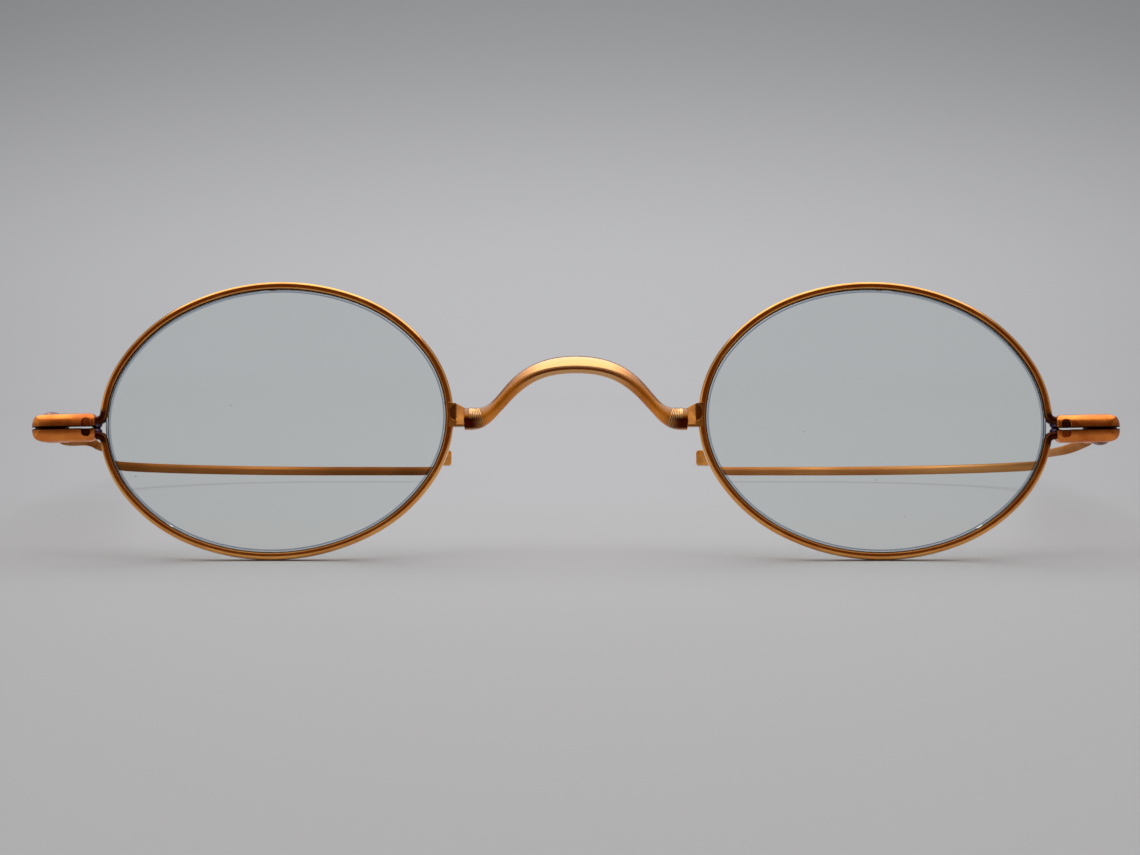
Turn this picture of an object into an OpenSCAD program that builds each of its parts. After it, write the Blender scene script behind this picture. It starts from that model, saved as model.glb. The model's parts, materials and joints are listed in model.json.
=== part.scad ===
// Oval wire-rimmed reading glasses, standing open on their rims and temple tips
// +X is the side at the viewer's right, +Y runs back along the temples, +Z is up

/* [Lenses] */
// Width of a lens along its long axis
lens_w = 37.3; // [33:0.1:42]
// Height of a lens across its short axis
lens_h = 29.0; // [26:0.1:32]
// Distance between the two lens centres
lens_centres = 65.1; // [60:0.1:72]
// Slope of a lens's long axis, down towards the temple
lens_droop = 3.5; // [1:0.1:6]
// Thickness of a lens where its long axis ends
lens_edge = 1.0; // [0.9:0.05:1.2]
// Bulge of each lens face at the centre
lens_dome = 0.5; // [0.2:0.05:0.8]
// Height of the ridge ground round a lens
ridge_h = 0.3; // [0.15:0.05:0.4]
// Width of the ridge at its foot
ridge_w = 0.84; // [0.6:0.02:0.88]

/* [Rims] */
// Width of the rim wire, seen from the front
rim_w = 0.88; // [0.8:0.02:1.1]
// Depth of the rim wire, front to back
rim_depth = 1.5; // [1.3:0.05:1.8]
// Radius of the turn where a rim end leaves the lens
rim_turn_r = 0.8; // [0.7:0.05:1.2]
// Gap between a lens and its groove
seat_gap = 0.03; // [0.02:0.01:0.06]

/* [Bridge] */
// Height of the crest's centreline over the lens centres
crest_z = 6.2; // [4:0.1:9]
// Distance that the crest is set back
crest_back = 1.0; // [0:0.1:3]
// Width of the flattened crest
crest_w = 2.8; // [1.8:0.05:3.2]
// Thickness of the flattened crest
crest_t = 1.5; // [1.1:0.05:1.9]
// Backward lean of the crest's flat, as the bridge of a nose slopes
crest_tilt = 55; // [0:1:65]
// Thickness of the limbs at their thinnest
limb_t = 1.46; // [1.1:0.02:1.8]
// Diameter of the turned neck at each end
neck_d = 2.4; // [2:0.05:2.8]
// Length of each neck
neck_l = 1.2; // [0.8:0.05:2]
// Height of the necks over the lens centres
neck_z = 0.2; // [-0.6:0.05:1]
// Straightness of a limb as it leaves the neck
limb_pull_low = 4.0; // [2:0.1:5]
// Straightness of a limb as it reaches the crest
limb_pull_high = 7.9; // [5:0.1:9]
// Distance from a rim's edge to the bridge's neck
foot_reach = 1.2; // [1:0.05:2]
// Length of a foot's lips over the rim
foot_lip = 0.6; // [0.3:0.05:0.8]
// Backward slope of the flat facet between the lips and the neck
facet_slope = 27; // [10:1:35]
// Height of a foot beside the rim
foot_h = 2.7; // [2.4:0.05:3.4]
// Height of a foot's middle over the lens centres
foot_z = 0.7; // [0.3:0.05:1]
// Depth of a foot, front to back
foot_depth = 2.4; // [2.4:0.05:3]
// Depth of the scoop in a foot's front
scoop_d = 0.35; // [0.1:0.05:0.5]
// Radius of the scoop's round side, towards the rim
scoop_r = 1.0; // [0.8:0.05:1.1]
// Width of the scoop, from its round side to its straight one
scoop_w = 0.75; // [0.5:0.05:0.9]
// Width of the lip that the scoop leaves standing over the rim
scoop_lip = 0.12; // [0.08:0.01:0.2]

/* [End pieces] */
// Drop of the hinge's middle below the lens centres
hinge_drop = 0.8; // [0:0.05:1.2]
// Distance from the rim ends to the hinge screw
end_l = 5.2; // [4.4:0.1:7]
// Height of the two halves together
end_h = 3.05; // [2.9:0.05:3.6]
// Depth of the bar
bar_depth = 1.8; // [1.6:0.05:2.2]
// How far the bar's middle stands in front of the rim wire's
bar_ahead = 0.3; // [0.1:0.05:0.4]
// Gap between the upper and the lower half
slit = 0.2; // [0.12:0.01:0.4]
// Radius of the round knuckle about the screw
knuckle_r = 1.9; // [1.8:0.05:2.2]
// Distance from the bar's back to the screw's centre
knuckle_set = 0.75; // [0.7:0.05:0.9]
// Rounding of the front's long edges
front_round = 0.95; // [0.6:0.05:1.3]
// Radius of the front's crown, between its rounded edges
crown_r = 4.5; // [3:0.1:8]
// Rounding of the back's long edges
back_round = 0.3; // [0.1:0.05:0.5]
// Rounding of the outer end's corners
outer_round = 1.45; // [0.5:0.05:1.5]
// Rounding of the inner end's corners
inner_round = 0.7; // [0.2:0.05:0.9]
// Wall between the rim's ends and the hollow in the front
hollow_set = 0.5; // [0.3:0.05:0.8]
// Width of that hollow
hollow_w = 1.0; // [0.5:0.05:1.1]
// Height of that hollow
hollow_h = 2.0; // [1.2:0.05:2.2]
// Depth of that hollow
hollow_d = 0.9; // [0.2:0.05:1.1]
// Tilt of both hinges, up towards the viewer's right
hinge_tilt = 1.1; // [0.8:0.05:1.6]

/* [Hinge] */
// How far the temple lug's eye stays inside the knuckle's edge
eye_inset = 0.05; // [0:0.01:0.15]
// Thickness of the lug's eye
eye_t = 0.95; // [0.8:0.05:1.05]
// Gap between the eye and the walls of its pocket
eye_gap = 0.1; // [0.05:0.01:0.14]
// Width of the lug's tongue
tongue_w = 1.3; // [1:0.05:1.4]
// Radius of the lug's socket
socket_r = 0.86; // [0.82:0.01:0.92]
// Length of the lug's socket
socket_l = 2.4; // [1.8:0.1:3.5]
// Distance from the screw's centre to the socket
socket_set = 2.1; // [2.05:0.05:2.6]
// Thickness of the socket's floor
socket_floor = 0.4; // [0.3:0.05:0.6]
// Diameter of the screw's shank
screw_d = 0.84; // [0.7:0.02:1]
// Play between the screw and what turns or slides on it
screw_play = 0.03; // [0.02:0.01:0.06]
// Bite of the screw's thread in the threaded half
thread_bite = 0.03; // [0.01:0.01:0.05]
// Diameter of the screw's head
head_d = 1.8; // [1.5:0.05:2.2]
// Height of the screw's head
head_h = 0.3; // [0.2:0.02:0.45]
// Width of the slot in the head
slot_w = 0.22; // [0.15:0.01:0.3]
// Depth of the slot in the head
slot_d = 0.14; // [0.08:0.01:0.18]

/* [Temples] */
// Diameter of the temple wire at the hinge
wire_d = 1.3; // [1.1:0.02:1.36]
// Diameter of the temple wire at the tip
wire_tip_d = 1.05; // [0.8:0.01:1.2]
// Outward slope of the straight part
splay = 8.7; // [4:0.1:11]
// Length of the straight part
straight_l = 81; // [70:0.5:95]
// Length of the slow inward sweep behind it
sweep_l = 36; // [28:0.5:45]
// Turn of the slow sweep
sweep_turn = 22.7; // [15:0.1:28]
// Length of the bend behind the ear
bend_l = 34; // [28:0.5:42]
// Length of the tail behind the head, with its tip
tail_l = 22.2; // [16:0.2:30]
// Rise of the left wire, and fall of the right one, midway
wire_bow = 0.65; // [0:0.05:0.9]
// Drop of both wires a little behind their lugs
wire_drop = 0.7; // [0:0.05:0.9]
// Gap between the wire and the sockets that it is brazed into
braze_gap = 0.02; // [0.01:0.01:0.04]

/* [Temple tips] */
// Height of the flat paddle
paddle_h = 2.6; // [2.2:0.1:4]
// Rounding of the paddle's two corners
paddle_round = 0.5; // [0.3:0.05:1]
// Length over which the wire's end flares to the paddle
paddle_flare = 1.8; // [1:0.1:2.5]
// Thickness of the flat paddle
paddle_t = 0.95; // [0.8:0.05:1.2]
// Length of the paddle, from ferrule to end
paddle_l = 5.2; // [3.5:0.1:8]
// Wall of the ferrule round the wire
ferrule_wall = 0.2; // [0.15:0.01:0.35]
// Length of the ferrule
ferrule_l = 1.6; // [1:0.1:2.5]

/* [Hidden] */
$fn = 96;
// overrun of a cut past the face that it opens
cut = 1;

// The oval has eight arcs: two at the ends, four between and two along the top and bottom.
// These are the directions in which one arc hands over to the next, and how much blunter
// than an ellipse the end arcs are.
end_to_side = 36;
side_to_top = 66;
end_blunt = 1.04;
oval_a = lens_w / 2;
oval_b = lens_h / 2;
end_r = end_blunt * oval_b * oval_b / oval_a;
// side and top radii from two conditions: the arcs close at the top, at the oval's half height
close_x = oval_a - end_r * (1 - cos(end_to_side));
close_y = oval_b - end_r * sin(end_to_side);
side_dx = cos(end_to_side) - cos(side_to_top);
side_dy = sin(side_to_top) - sin(end_to_side);
oval_det = side_dx * (1 - sin(side_to_top)) - cos(side_to_top) * side_dy;
side_r = (close_x * (1 - sin(side_to_top)) - cos(side_to_top) * close_y) / oval_det;
top_r = (side_dx * close_y - side_dy * close_x) / oval_det;
end_x = oval_a - end_r;
side_x = end_x - (side_r - end_r) * cos(end_to_side);
side_y = (side_r - end_r) * sin(end_to_side);
top_y = top_r - oval_b;
// each arc is [centre x, centre y, radius of the lens's ridge, from, to]
SIDE_ARCS = [
    [side_x, -side_y, side_r, end_to_side, side_to_top],
    [0, -top_y, top_r, side_to_top, 180 - side_to_top],
    [-side_x, -side_y, side_r, 180 - side_to_top, 180 - end_to_side],
    [-end_x, 0, end_r, 180 - end_to_side, 180 + end_to_side],
    [-side_x, side_y, side_r, 180 + end_to_side, 180 + side_to_top],
    [0, top_y, top_r, 180 + side_to_top, 360 - side_to_top],
    [side_x, side_y, side_r, 360 - side_to_top, 360 - end_to_side]];
OUTER_ARC = [end_x, 0, end_r, -end_to_side, end_to_side];

// The rim wire's middle runs this far outside the lens's ridge.
rim_set = seat_gap - ridge_h + rim_w / 2;
rim_round = rim_w / 2;
rim_flat = rim_depth / 2 - rim_round;
lens_x = lens_centres / 2;
rim_reach = end_x * cos(lens_droop) + end_r + rim_set + rim_w / 2;

// The rim's two ends turn outward, and run level into the middles of the end piece's halves.
half_h = (end_h - slit) / 2;
half_z = (slit + half_h) / 2;
turn_path = end_r + rim_set + rim_turn_r;
end_sink = end_x * sin(lens_droop);
upper_lift = asin((half_z + rim_turn_r - hinge_drop + end_sink) / turn_path);
lower_lift = asin((half_z + rim_turn_r + hinge_drop - end_sink) / turn_path);
upper_part = upper_lift + lens_droop;
lower_part = lower_lift - lens_droop;
upper_turn_x = end_x * cos(lens_droop) + turn_path * cos(upper_lift);
lower_turn_x = end_x * cos(lens_droop) + turn_path * cos(lower_lift);
stub_run = 0.05;
stub_end = max(upper_turn_x, lower_turn_x) + stub_run;

// Half of the grooved section: the wall's round edge, from the groove's mouth to the outside.
// Its points are [outwards from the lens, along the depth].
edge_steps = 5;
mouth_turn = 180 - asin((ridge_w / 2 - rim_flat) / rim_round);
RIM_EDGE = [for (i = [0:edge_steps]) let (a = mouth_turn * (1 - i / edge_steps))
    [rim_round * cos(a), rim_flat + rim_round * sin(a)]];
RIM_SECTION = concat([for (i = [edge_steps:-1:0]) RIM_EDGE[i]], [[ridge_h - rim_round, 0]],
    [for (p = RIM_EDGE) [p.x, -p.y]]);

// Stops along an arc, each [x, y, direction away from the lens], up to but without its end
rim_step = 4.5;
function arc_stops(c, r, from, to, away = 0) =
    let (steps = ceil(abs(to - from) / rim_step))
    [for (i = [0:steps - 1]) let (a = from + (to - from) * i / steps)
        [c.x + r * cos(a), c.y + r * sin(a), a + away]];

// The lens's outline, inset from the crest of its ridge
function lens_stops(inset) =
    [for (arc = concat([OUTER_ARC], SIDE_ARCS)) each
        [for (stop = arc_stops([arc[0], arc[1]], arc[2] - inset, arc[3], arc[4])) [stop.x, stop.y]]];

// A stop on the level stub behind a turn about c: side is 1 for the upper end and -1 for the lower
function stub_stop(c, side, run) = [
    c.x + side * rim_turn_r * sin(lens_droop) + run * cos(lens_droop),
    c.y - side * rim_turn_r * cos(lens_droop) + run * sin(lens_droop),
    lens_droop + side * 90];

// The rim's whole course in the lens's plane: in at the upper stub, round the lens, out at the lower
function rim_stops() =
    let (end = [end_x, 0], r = end_r + rim_set,
        upper = end + turn_path * [cos(upper_part), sin(upper_part)],
        lower = end + turn_path * [cos(lower_part), -sin(lower_part)])
    concat(
        [stub_stop(upper, 1, stub_end - upper_turn_x)],
        arc_stops(upper, rim_turn_r, 270 + lens_droop, 180 + upper_part, 180),
        arc_stops(end, r, upper_part, end_to_side),
        [for (arc = SIDE_ARCS) each arc_stops([arc[0], arc[1]], arc[2] + rim_set, arc[3], arc[4])],
        arc_stops(end, r, -end_to_side, -lower_part),
        arc_stops(lower, rim_turn_r, 180 - lower_part, 90 + lens_droop, 180),
        [stub_stop(lower, -1, 0), stub_stop(lower, -1, stub_end - lower_turn_x)]);

function rim_ring(stop) =
    [for (p = RIM_SECTION) [stop.x + p.x * cos(stop[2]), stop.y + p.x * sin(stop[2]), p.y]];

// The hinge's centre: the screw's axis, halfway up the end piece
bar_back = bar_depth / 2 - bar_ahead;
hinge_x = lens_x + stub_end + end_l;
hinge_y = bar_back + knuckle_set;
hinge_z = -hinge_drop;
bar_front = bar_back - bar_depth - hinge_y;
eye_r = knuckle_r - eye_inset;
pocket_r = knuckle_r + eye_gap;
pocket_h = eye_t + eye_gap;
screw_r = screw_d / 2;

// The temple wire's plan, as lengths and inward turns, from the screw's axis.
bend_turn = 90 + splay - sweep_turn;
WIRE = [[straight_l, 0], [sweep_l, sweep_turn], [bend_l, bend_turn], [tail_l, 0]];
wire_from = socket_set + socket_floor;
wire_to = straight_l + sweep_l + bend_l + tail_l - paddle_l;
bow_from = socket_set + socket_l;
bow_share = 0.25;
bow_to = straight_l + sweep_l + bow_share * bend_l;
// The drop is deepest a short run behind the lug, and ends with the straight part.
drop_run = 14;
drop_at = bow_from + drop_run;
drop_to = straight_l;
wire_sides = 14;
wire_steps = 60;
ferrule_r = wire_tip_d / 2 + braze_gap + ferrule_wall;

// The glasses lean back until the rims and the tips stand on one plane.
rim_low = top_r + rim_set - top_y * cos(lens_droop);
tail_y = along(wire_to).y;
lean_run = tail_y + paddle_t / 2 - rim_flat;
lean_rise = rim_low - hinge_drop - paddle_h / 2;
lean = atan2(lean_rise, lean_run) + asin(rim_round / norm([lean_run, lean_rise]));
stand_z = rim_flat * sin(lean) + rim_low * cos(lean) + rim_round;
front_y = -rim_flat * cos(lean) - rim_low * sin(lean) - rim_round;
back_y = max([for (p = temple_points(1)) p.y * cos(lean) + p.z * sin(lean)]);
stand_y = -(front_y + back_y) / 2;

// A step of d along one piece of the wire's plan, from p and heading h, measured from +Y to +X
function step_along(p, h, d, turn_rate) =
    turn_rate == 0 ? [p.x + d * sin(h), p.y + d * cos(h), h]
    : let (r = 180 / (PI * turn_rate), h2 = h - turn_rate * d)
    [p.x + r * (cos(h2) - cos(h)), p.y + r * (sin(h) - sin(h2)), h2];

// The wire's place and heading after s millimetres
function along(s, i = 0, from = [hinge_x, hinge_y, splay]) =
    let (piece = WIRE[i], d = min(s, piece[0]), to = step_along(from, from[2], d, piece[1] / piece[0]))
    s <= piece[0] || i == len(WIRE) - 1 ? to : along(s - piece[0], i + 1, to);

function bow(s) =
    s < bow_from || s > bow_to ? 0
    : wire_bow * (1 - cos(360 * (s - bow_from) / (bow_to - bow_from))) / 2;

function drop(s) =
    s < bow_from || s > drop_to ? 0
    : s < drop_at ? wire_drop * (1 - cos(180 * (s - bow_from) / (drop_at - bow_from))) / 2
    : wire_drop * (1 + cos(180 * (s - drop_at) / (drop_to - drop_at))) / 2;

// A ring of the right wire, with side 1, or of the left one before it is mirrored, with side -1
function wire_ring(s, r, side) =
    let (at = along(s), z = hinge_z - side * bow(s) - drop(s))
    [for (k = [0:wire_sides - 1]) let (a = 360 * k / wire_sides)
        [at.x + r * cos(a) * cos(at[2]), at.y - r * cos(a) * sin(at[2]), z + r * sin(a)]];

function temple_points(side) =
    [for (i = [0:wire_steps]) let (t = i / wire_steps, s = wire_from + t * (wire_to - wire_from))
        each wire_ring(s, (wire_d + t * (wire_tip_d - wire_d)) / 2, side)];

// Faces of a closed tube, from rings of points that run clockwise as the tube leaves the viewer,
// or the other way with flip
function tube_faces(rings, sides, flip = false) =
    let (turned = function (f) flip ? [f[2], f[1], f[0]] : f)
    concat(
        [for (i = [0:rings - 2]) for (k = [0:sides - 1])
            let (a = i * sides + k, b = i * sides + (k + 1) % sides)
            each [turned([a, b, b + sides]), turned([a, b + sides, a + sides])]],
        [for (k = [1:sides - 2]) turned([0, k + 1, k])],
        [for (k = [1:sides - 2]) let (z = (rings - 1) * sides) turned([z, z + k, z + k + 1])]);

// The bridge's centreline from the left foot to the right one: a neck, a limb, the crest and back
bridge_x = lens_x - rim_reach - foot_reach;
limb_x = bridge_x - neck_l / 2;
neck_steps = 3;
limb_steps = 18;
bridge_sides = 18;
// how far to both sides of a stop its direction is read, as a share of the limb
probe = 0.01;

function curve(t, a, b, c, d) =
    a * (1 - t) ^ 3 + 3 * b * t * (1 - t) ^ 2 + 3 * c * t ^ 2 * (1 - t) + d * t ^ 3;

function smooth(t) = t * t * (3 - 2 * t);

function limb_at(t) = [
    curve(t, limb_x, limb_x - limb_pull_low, limb_pull_high, 0),
    crest_back * smooth(t),
    curve(t, neck_z, neck_z, crest_z, crest_z)];

// A size of a limb, by its place between neck and crest
neck_share = 0.32;
thin_share = 0.4;
function limb_size(t, neck, thin, crest) =
    t < neck_share ? neck + (thin - neck) * smooth(t / neck_share)
    : t < thin_share ? thin
    : thin + (crest - thin) * smooth((t - thin_share) / (1 - thin_share));

function half_bridge() = concat(
    [for (i = [0:neck_steps - 1]) [[bridge_x - (bridge_x - limb_x) * i / neck_steps, 0, neck_z],
        [0, 0, 1], neck_d / 2, neck_d / 2]],
    [for (i = [0:limb_steps]) let (t = i / limb_steps, p = limb_at(t),
        q = limb_at(min(t + probe, 1)) - limb_at(max(t - probe, 0)), n = norm([q.x, q.z]))
        [p, [q.z / n, 0, -q.x / n], limb_size(t, neck_d, limb_t, crest_w) / 2,
            limb_size(t, neck_d, limb_t, crest_t) / 2]]);

// The section turns back about the wire as the limb rises to the crest
function tilt_at(s) = crest_tilt * smooth(max(0, (s[0].z - neck_z) / (crest_z - neck_z)));

function bridge_ring(s, m) =
    let (tilt = tilt_at(s), back = [0, 1, 0], broad = cos(tilt) * s[1] + sin(tilt) * back,
        thin = cos(tilt) * back - sin(tilt) * s[1])
    [for (k = [0:bridge_sides - 1]) let (a = 360 * k / bridge_sides,
        p = s[0] + s[2] * sin(a) * broad + s[3] * cos(a) * thin) [m * p.x, p.y, p.z]];

// From the front's own frame to the ground: leaning back, and centred over the origin
module standing() {
    translate([0, stand_y, stand_z]) rotate([-lean, 0, 0]) children();
}

// The left hinge, lug and tip are the right ones turned upside down
module turned_over() {
    translate([0, 0, 2 * hinge_z]) rotate([0, 180, 0]) children();
}

// The right hinge's own frame: the screw's axis is Z, and X points away from the rim
module at_hinge() {
    translate([hinge_x, hinge_y, hinge_z]) rotate([0, -hinge_tilt, 0]) children();
}

// The right lens's own plane, with its long axis along X
module at_lens() {
    translate([lens_x, 0, 0]) rotate([0, lens_droop, 0]) rotate([90, 0, 0]) children();
}

// A rectangle from lo to hi, with a radius for each corner, from the lower left one round
module rounded_box(lo, hi, r) {
    polygon([[lo.x + r[0], lo.y], [hi.x - r[1], lo.y], [hi.x, lo.y + r[1]], [hi.x, hi.y - r[2]],
        [hi.x - r[2], hi.y], [lo.x + r[3], hi.y], [lo.x, hi.y - r[3]], [lo.x, lo.y + r[0]]]);
    translate([lo.x + r[0], lo.y + r[0]]) circle(r[0]);
    translate([hi.x - r[1], lo.y + r[1]]) circle(r[1]);
    translate([hi.x - r[2], hi.y - r[2]]) circle(r[2]);
    translate([lo.x + r[3], hi.y - r[3]]) circle(r[3]);
}

// The rim wire's plain round-edged section, with its middle at the origin
module rim_round_section() {
    square([rim_w, 2 * rim_flat], center = true);
    for (m = [-1, 1]) translate([0, m * rim_flat]) circle(rim_round);
}

// The grooved rim wire, bent round the lens, with both ends turned outward
module rim() {
    at_lens() polyhedron([for (stop = rim_stops()) each rim_ring(stop)],
        tube_faces(len(rim_stops()), len(RIM_SECTION)));
}

module rim_left() {
    color("peru") standing() mirror([1, 0, 0]) rim();
}

module rim_right() {
    color("peru") standing() rim();
}

// One ring of a lens's face, scaled in from the edge: face is -1 at the back and 1 in front
function lens_ring(share, face) =
    [for (stop = lens_stops(ridge_h)) let (p = share * stop)
        [p.x, p.y, face * (lens_edge / 2 + lens_dome * (1 - (norm(p) / oval_a) ^ 2))]];

// A ring of the ridge round the edge, inset from its crest
function ridge_ring(inset, z) = [for (p = lens_stops(inset)) [p.x, p.y, z]];

// Each face's bulge is drawn in rings, thickest at the centre
module lens() {
    rings = 5;
    points = concat(
        [for (i = [1:rings]) each lens_ring(i / rings, -1)],
        ridge_ring(ridge_h, -ridge_w / 2), ridge_ring(0, 0), ridge_ring(ridge_h, ridge_w / 2),
        [for (i = [rings:-1:1]) each lens_ring(i / rings, 1)]);
    at_lens() polyhedron(points, tube_faces(2 * rings + 3, len(lens_stops(0)), flip = true));
}

module lens_left() {
    color([0.72, 0.78, 0.76, 0.5]) standing() mirror([1, 0, 0]) lens();
}

module lens_right() {
    color([0.72, 0.78, 0.76, 0.5]) standing() lens();
}

// One wire, thick at its turned necks, thin along its limbs and broad at the crest
module bridge() {
    half = half_bridge();
    last = len(half) - 1;
    points = concat([for (s = half) each bridge_ring(s, -1)],
        [for (i = [last - 1:-1:0]) each bridge_ring(half[i], 1)]);
    color("sandybrown") standing()
        polyhedron(points, tube_faces(2 * last + 1, bridge_sides, flip = true));
}

// A foot flares from the bridge's neck to the rim, and its lips clasp the wire front and back
horn_share = 0.65;
horn_drop = 0.2;
facet_share = 0.75;
facet_foot = 0.2;
scoop_rise = 0.2;
module bridge_foot() {
    rim_edge = lens_x - rim_reach;
    lip_x = rim_edge + foot_lip;
    foot_top = foot_z + foot_h / 2;
    foot_bottom = foot_z - foot_h / 2;
    horn_x = bridge_x + horn_share * foot_reach;
    neck_top = min(foot_top - 2 * horn_drop, neck_z + neck_d / 2);
    difference() {
        translate([0, foot_depth / 2, 0]) rotate([90, 0, 0]) linear_extrude(foot_depth)
            polygon([[bridge_x, foot_bottom], [lip_x, foot_bottom], [lip_x, foot_top],
                [horn_x, foot_top - horn_drop], [bridge_x, neck_top]]);
        intersection() {
            translate([lip_x - scoop_lip - scoop_r, scoop_d - foot_depth / 2, foot_z + scoop_rise])
                rotate([90, 0, 0]) cylinder(r = scoop_r, h = scoop_d + cut);
            translate([lip_x - scoop_lip - scoop_w, -foot_depth, foot_bottom])
                cube([scoop_w, foot_depth, foot_h]);
        }
        translate([bridge_x - cut, -foot_depth / 2, foot_bottom + facet_foot]) rotate([-facet_slope, 0, 0])
            translate([0, -2 * foot_depth, 0])
                cube([cut + facet_share * foot_reach, 2 * foot_depth, 2 * foot_h]);
        at_lens() translate([-end_x, 0, 0]) rotate([0, 0, 180 - end_to_side])
            rotate_extrude(angle = 2 * end_to_side) translate([end_r + rim_set, 0]) {
                rim_round_section();
                translate([-rim_w - cut, -foot_depth]) square([rim_w + cut, 2 * foot_depth]);
            }
    }
}

module bridge_foot_left() {
    color("burlywood") standing() mirror([1, 0, 0]) bridge_foot();
}

module bridge_foot_right() {
    color("burlywood") standing() bridge_foot();
}

// The bar's upright section, crowned in front, with its rounded edges tangent to the crown
module bar_section() {
    edge_z = end_h / 2 - front_round;
    edge_y = bar_front + crown_r - sqrt((crown_r - front_round) ^ 2 - edge_z ^ 2);
    blend_z = edge_z * crown_r / (crown_r - front_round);
    rounded_box([edge_y - front_round, -end_h / 2], [knuckle_r, end_h / 2],
        [front_round, back_round, back_round, front_round]);
    intersection() {
        translate([bar_front + crown_r, 0]) circle(crown_r);
        translate([bar_front, -blend_z]) square([bar_depth, 2 * blend_z]);
    }
}

// Both halves of the right end piece in one block, in the hinge's frame
module end_block() {
    inner = -end_l;
    plain_round = 0.05;
    intersection() {
        translate([inner - cut, 0, 0]) rotate([90, 0, 90]) linear_extrude(end_l + knuckle_r + 2 * cut)
            bar_section();
        translate([0, 0, -end_h]) linear_extrude(2 * end_h) {
            rounded_box([inner, bar_front], [knuckle_r, bar_front + bar_depth],
                [back_round, outer_round, plain_round, plain_round]);
            circle(knuckle_r);
            translate([0, bar_front + outer_round]) square([knuckle_r, -bar_front - outer_round]);
        }
        translate([0, knuckle_r + cut, 0]) rotate([90, 0, 0])
            linear_extrude(knuckle_r - bar_front + 2 * cut)
                rounded_box([inner, -end_h / 2], [knuckle_r, end_h / 2],
                    [inner_round, outer_round, outer_round, inner_round]);
    }
}

// The lug's pocket, open round the knuckle and on to the inner side, where the temple swings
module lug_pocket() {
    translate([0, 0, -pocket_h / 2]) {
        cylinder(r = pocket_r, h = pocket_h);
        translate([-end_l, -tongue_w / 2 - eye_gap, 0])
            cube([end_l, tongue_w / 2 + eye_gap + knuckle_r + cut, pocket_h]);
    }
}

// The oblong hollow in the front of the bar, beside the rim
module front_hollow() {
    offset_z = (hollow_h - hollow_w) / 2;
    translate([-end_l + hollow_set + hollow_w / 2, bar_front + hollow_d, 0]) rotate([90, 0, 0]) {
        for (m = [-1, 1]) translate([0, m * offset_z, 0]) cylinder(d = hollow_w, h = hollow_d + cut);
        translate([-hollow_w / 2, -offset_z, 0]) cube([hollow_w, 2 * offset_z, hollow_d + cut]);
    }
}

// One half of the right end piece: side is 1 above the slit and -1 below it
module end_half(side) {
    bore_r = side > 0 ? screw_r - thread_bite : screw_r + screw_play;
    at_hinge() difference() {
        intersection() {
            end_block();
            translate([-end_l - cut, bar_front - cut, side > 0 ? slit / 2 : -end_h])
                cube([end_l + knuckle_r + 2 * cut, knuckle_r - bar_front + 2 * cut, end_h - slit / 2]);
        }
        lug_pocket();
        front_hollow();
        translate([0, 0, -end_h]) cylinder(r = bore_r, h = 2 * end_h);
    }
}

module endpiece_upper_right() {
    color("chocolate") standing() end_half(1);
}

module endpiece_lower_right() {
    color("chocolate") standing() end_half(-1);
}

module endpiece_upper_left() {
    color("chocolate") standing() turned_over() end_half(-1);
}

module endpiece_lower_left() {
    color("chocolate") standing() turned_over() end_half(1);
}

// The right hinge's screw, with its low head underneath and its tail flush on top
module hinge_screw() {
    dome_r = (head_d * head_d / 4 + head_h * head_h) / (2 * head_h);
    at_hinge() difference() {
        union() {
            translate([0, 0, -end_h / 2]) cylinder(r = screw_r, h = end_h);
            intersection() {
                translate([0, 0, -end_h / 2 - head_h]) cylinder(d = head_d, h = head_h);
                translate([0, 0, -end_h / 2 - head_h + dome_r]) sphere(dome_r);
            }
        }
        translate([-head_d, -slot_w / 2, -end_h / 2 - head_h - cut])
            cube([2 * head_d, slot_w, slot_d + cut]);
    }
}

module hinge_screw_left() {
    color("rosybrown") standing() turned_over() hinge_screw();
}

module hinge_screw_right() {
    color("rosybrown") standing() hinge_screw();
}

// The right temple's lug: an eye on the screw, a tongue, and a socket for the wire
module temple_lug() {
    at_hinge() rotate([0, 0, -splay]) difference() {
        union() {
            translate([0, 0, -eye_t / 2]) cylinder(r = eye_r, h = eye_t);
            translate([-tongue_w / 2, 0, -eye_t / 2]) cube([tongue_w, socket_set + socket_floor, eye_t]);
            translate([0, socket_set, 0]) rotate([-90, 0, 0]) cylinder(r = socket_r, h = socket_l);
        }
        translate([0, 0, -eye_t]) cylinder(r = screw_r + screw_play, h = 2 * eye_t);
        translate([0, wire_from, 0]) rotate([-90, 0, 0])
            cylinder(r = wire_d / 2 + braze_gap, h = socket_l + cut);
    }
}

module temple_lug_left() {
    color("peru") standing() turned_over() temple_lug();
}

module temple_lug_right() {
    color("peru") standing() temple_lug();
}

// A temple's wire, drawn thinner towards the tip
module temple(side) {
    polyhedron(temple_points(side), tube_faces(wire_steps + 1, wire_sides));
}

module temple_left() {
    color("sandybrown") standing() mirror([1, 0, 0]) temple(-1);
}

module temple_right() {
    color("sandybrown") standing() temple(1);
}

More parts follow.
